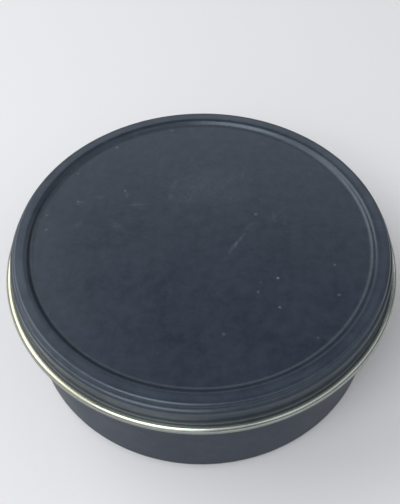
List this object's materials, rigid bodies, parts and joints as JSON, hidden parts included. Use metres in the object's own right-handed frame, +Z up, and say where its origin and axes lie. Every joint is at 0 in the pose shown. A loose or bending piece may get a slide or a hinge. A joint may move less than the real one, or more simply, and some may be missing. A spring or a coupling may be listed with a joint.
{
  "type": "caviar tin",
  "caption": "Shut round slip-lid food tin, low, lacquered black, with a sunk lid panel, a stacking shoulder and a bare rolled edge on the lid.",
  "frame": {"origin": "centre of the foot, on the surface that the tin stands on", "axes": "+Z up along the tin's axis; X and Y are alike, as the tin is round"},
  "size_m": [0.085, 0.085, 0.0298],
  "materials": {
    "black_lacquer": "satin blue-black can lacquer on tinplate, lightly scuffed and dusty",
    "bare_tinplate": "bare bright tinplate with a faint straw tint, on the lid's rolled edge"
  },
  "bodies": {
    "root": {"base": "black_lacquer", "lid": "black_lacquer"}
  },
  "joints": []
}
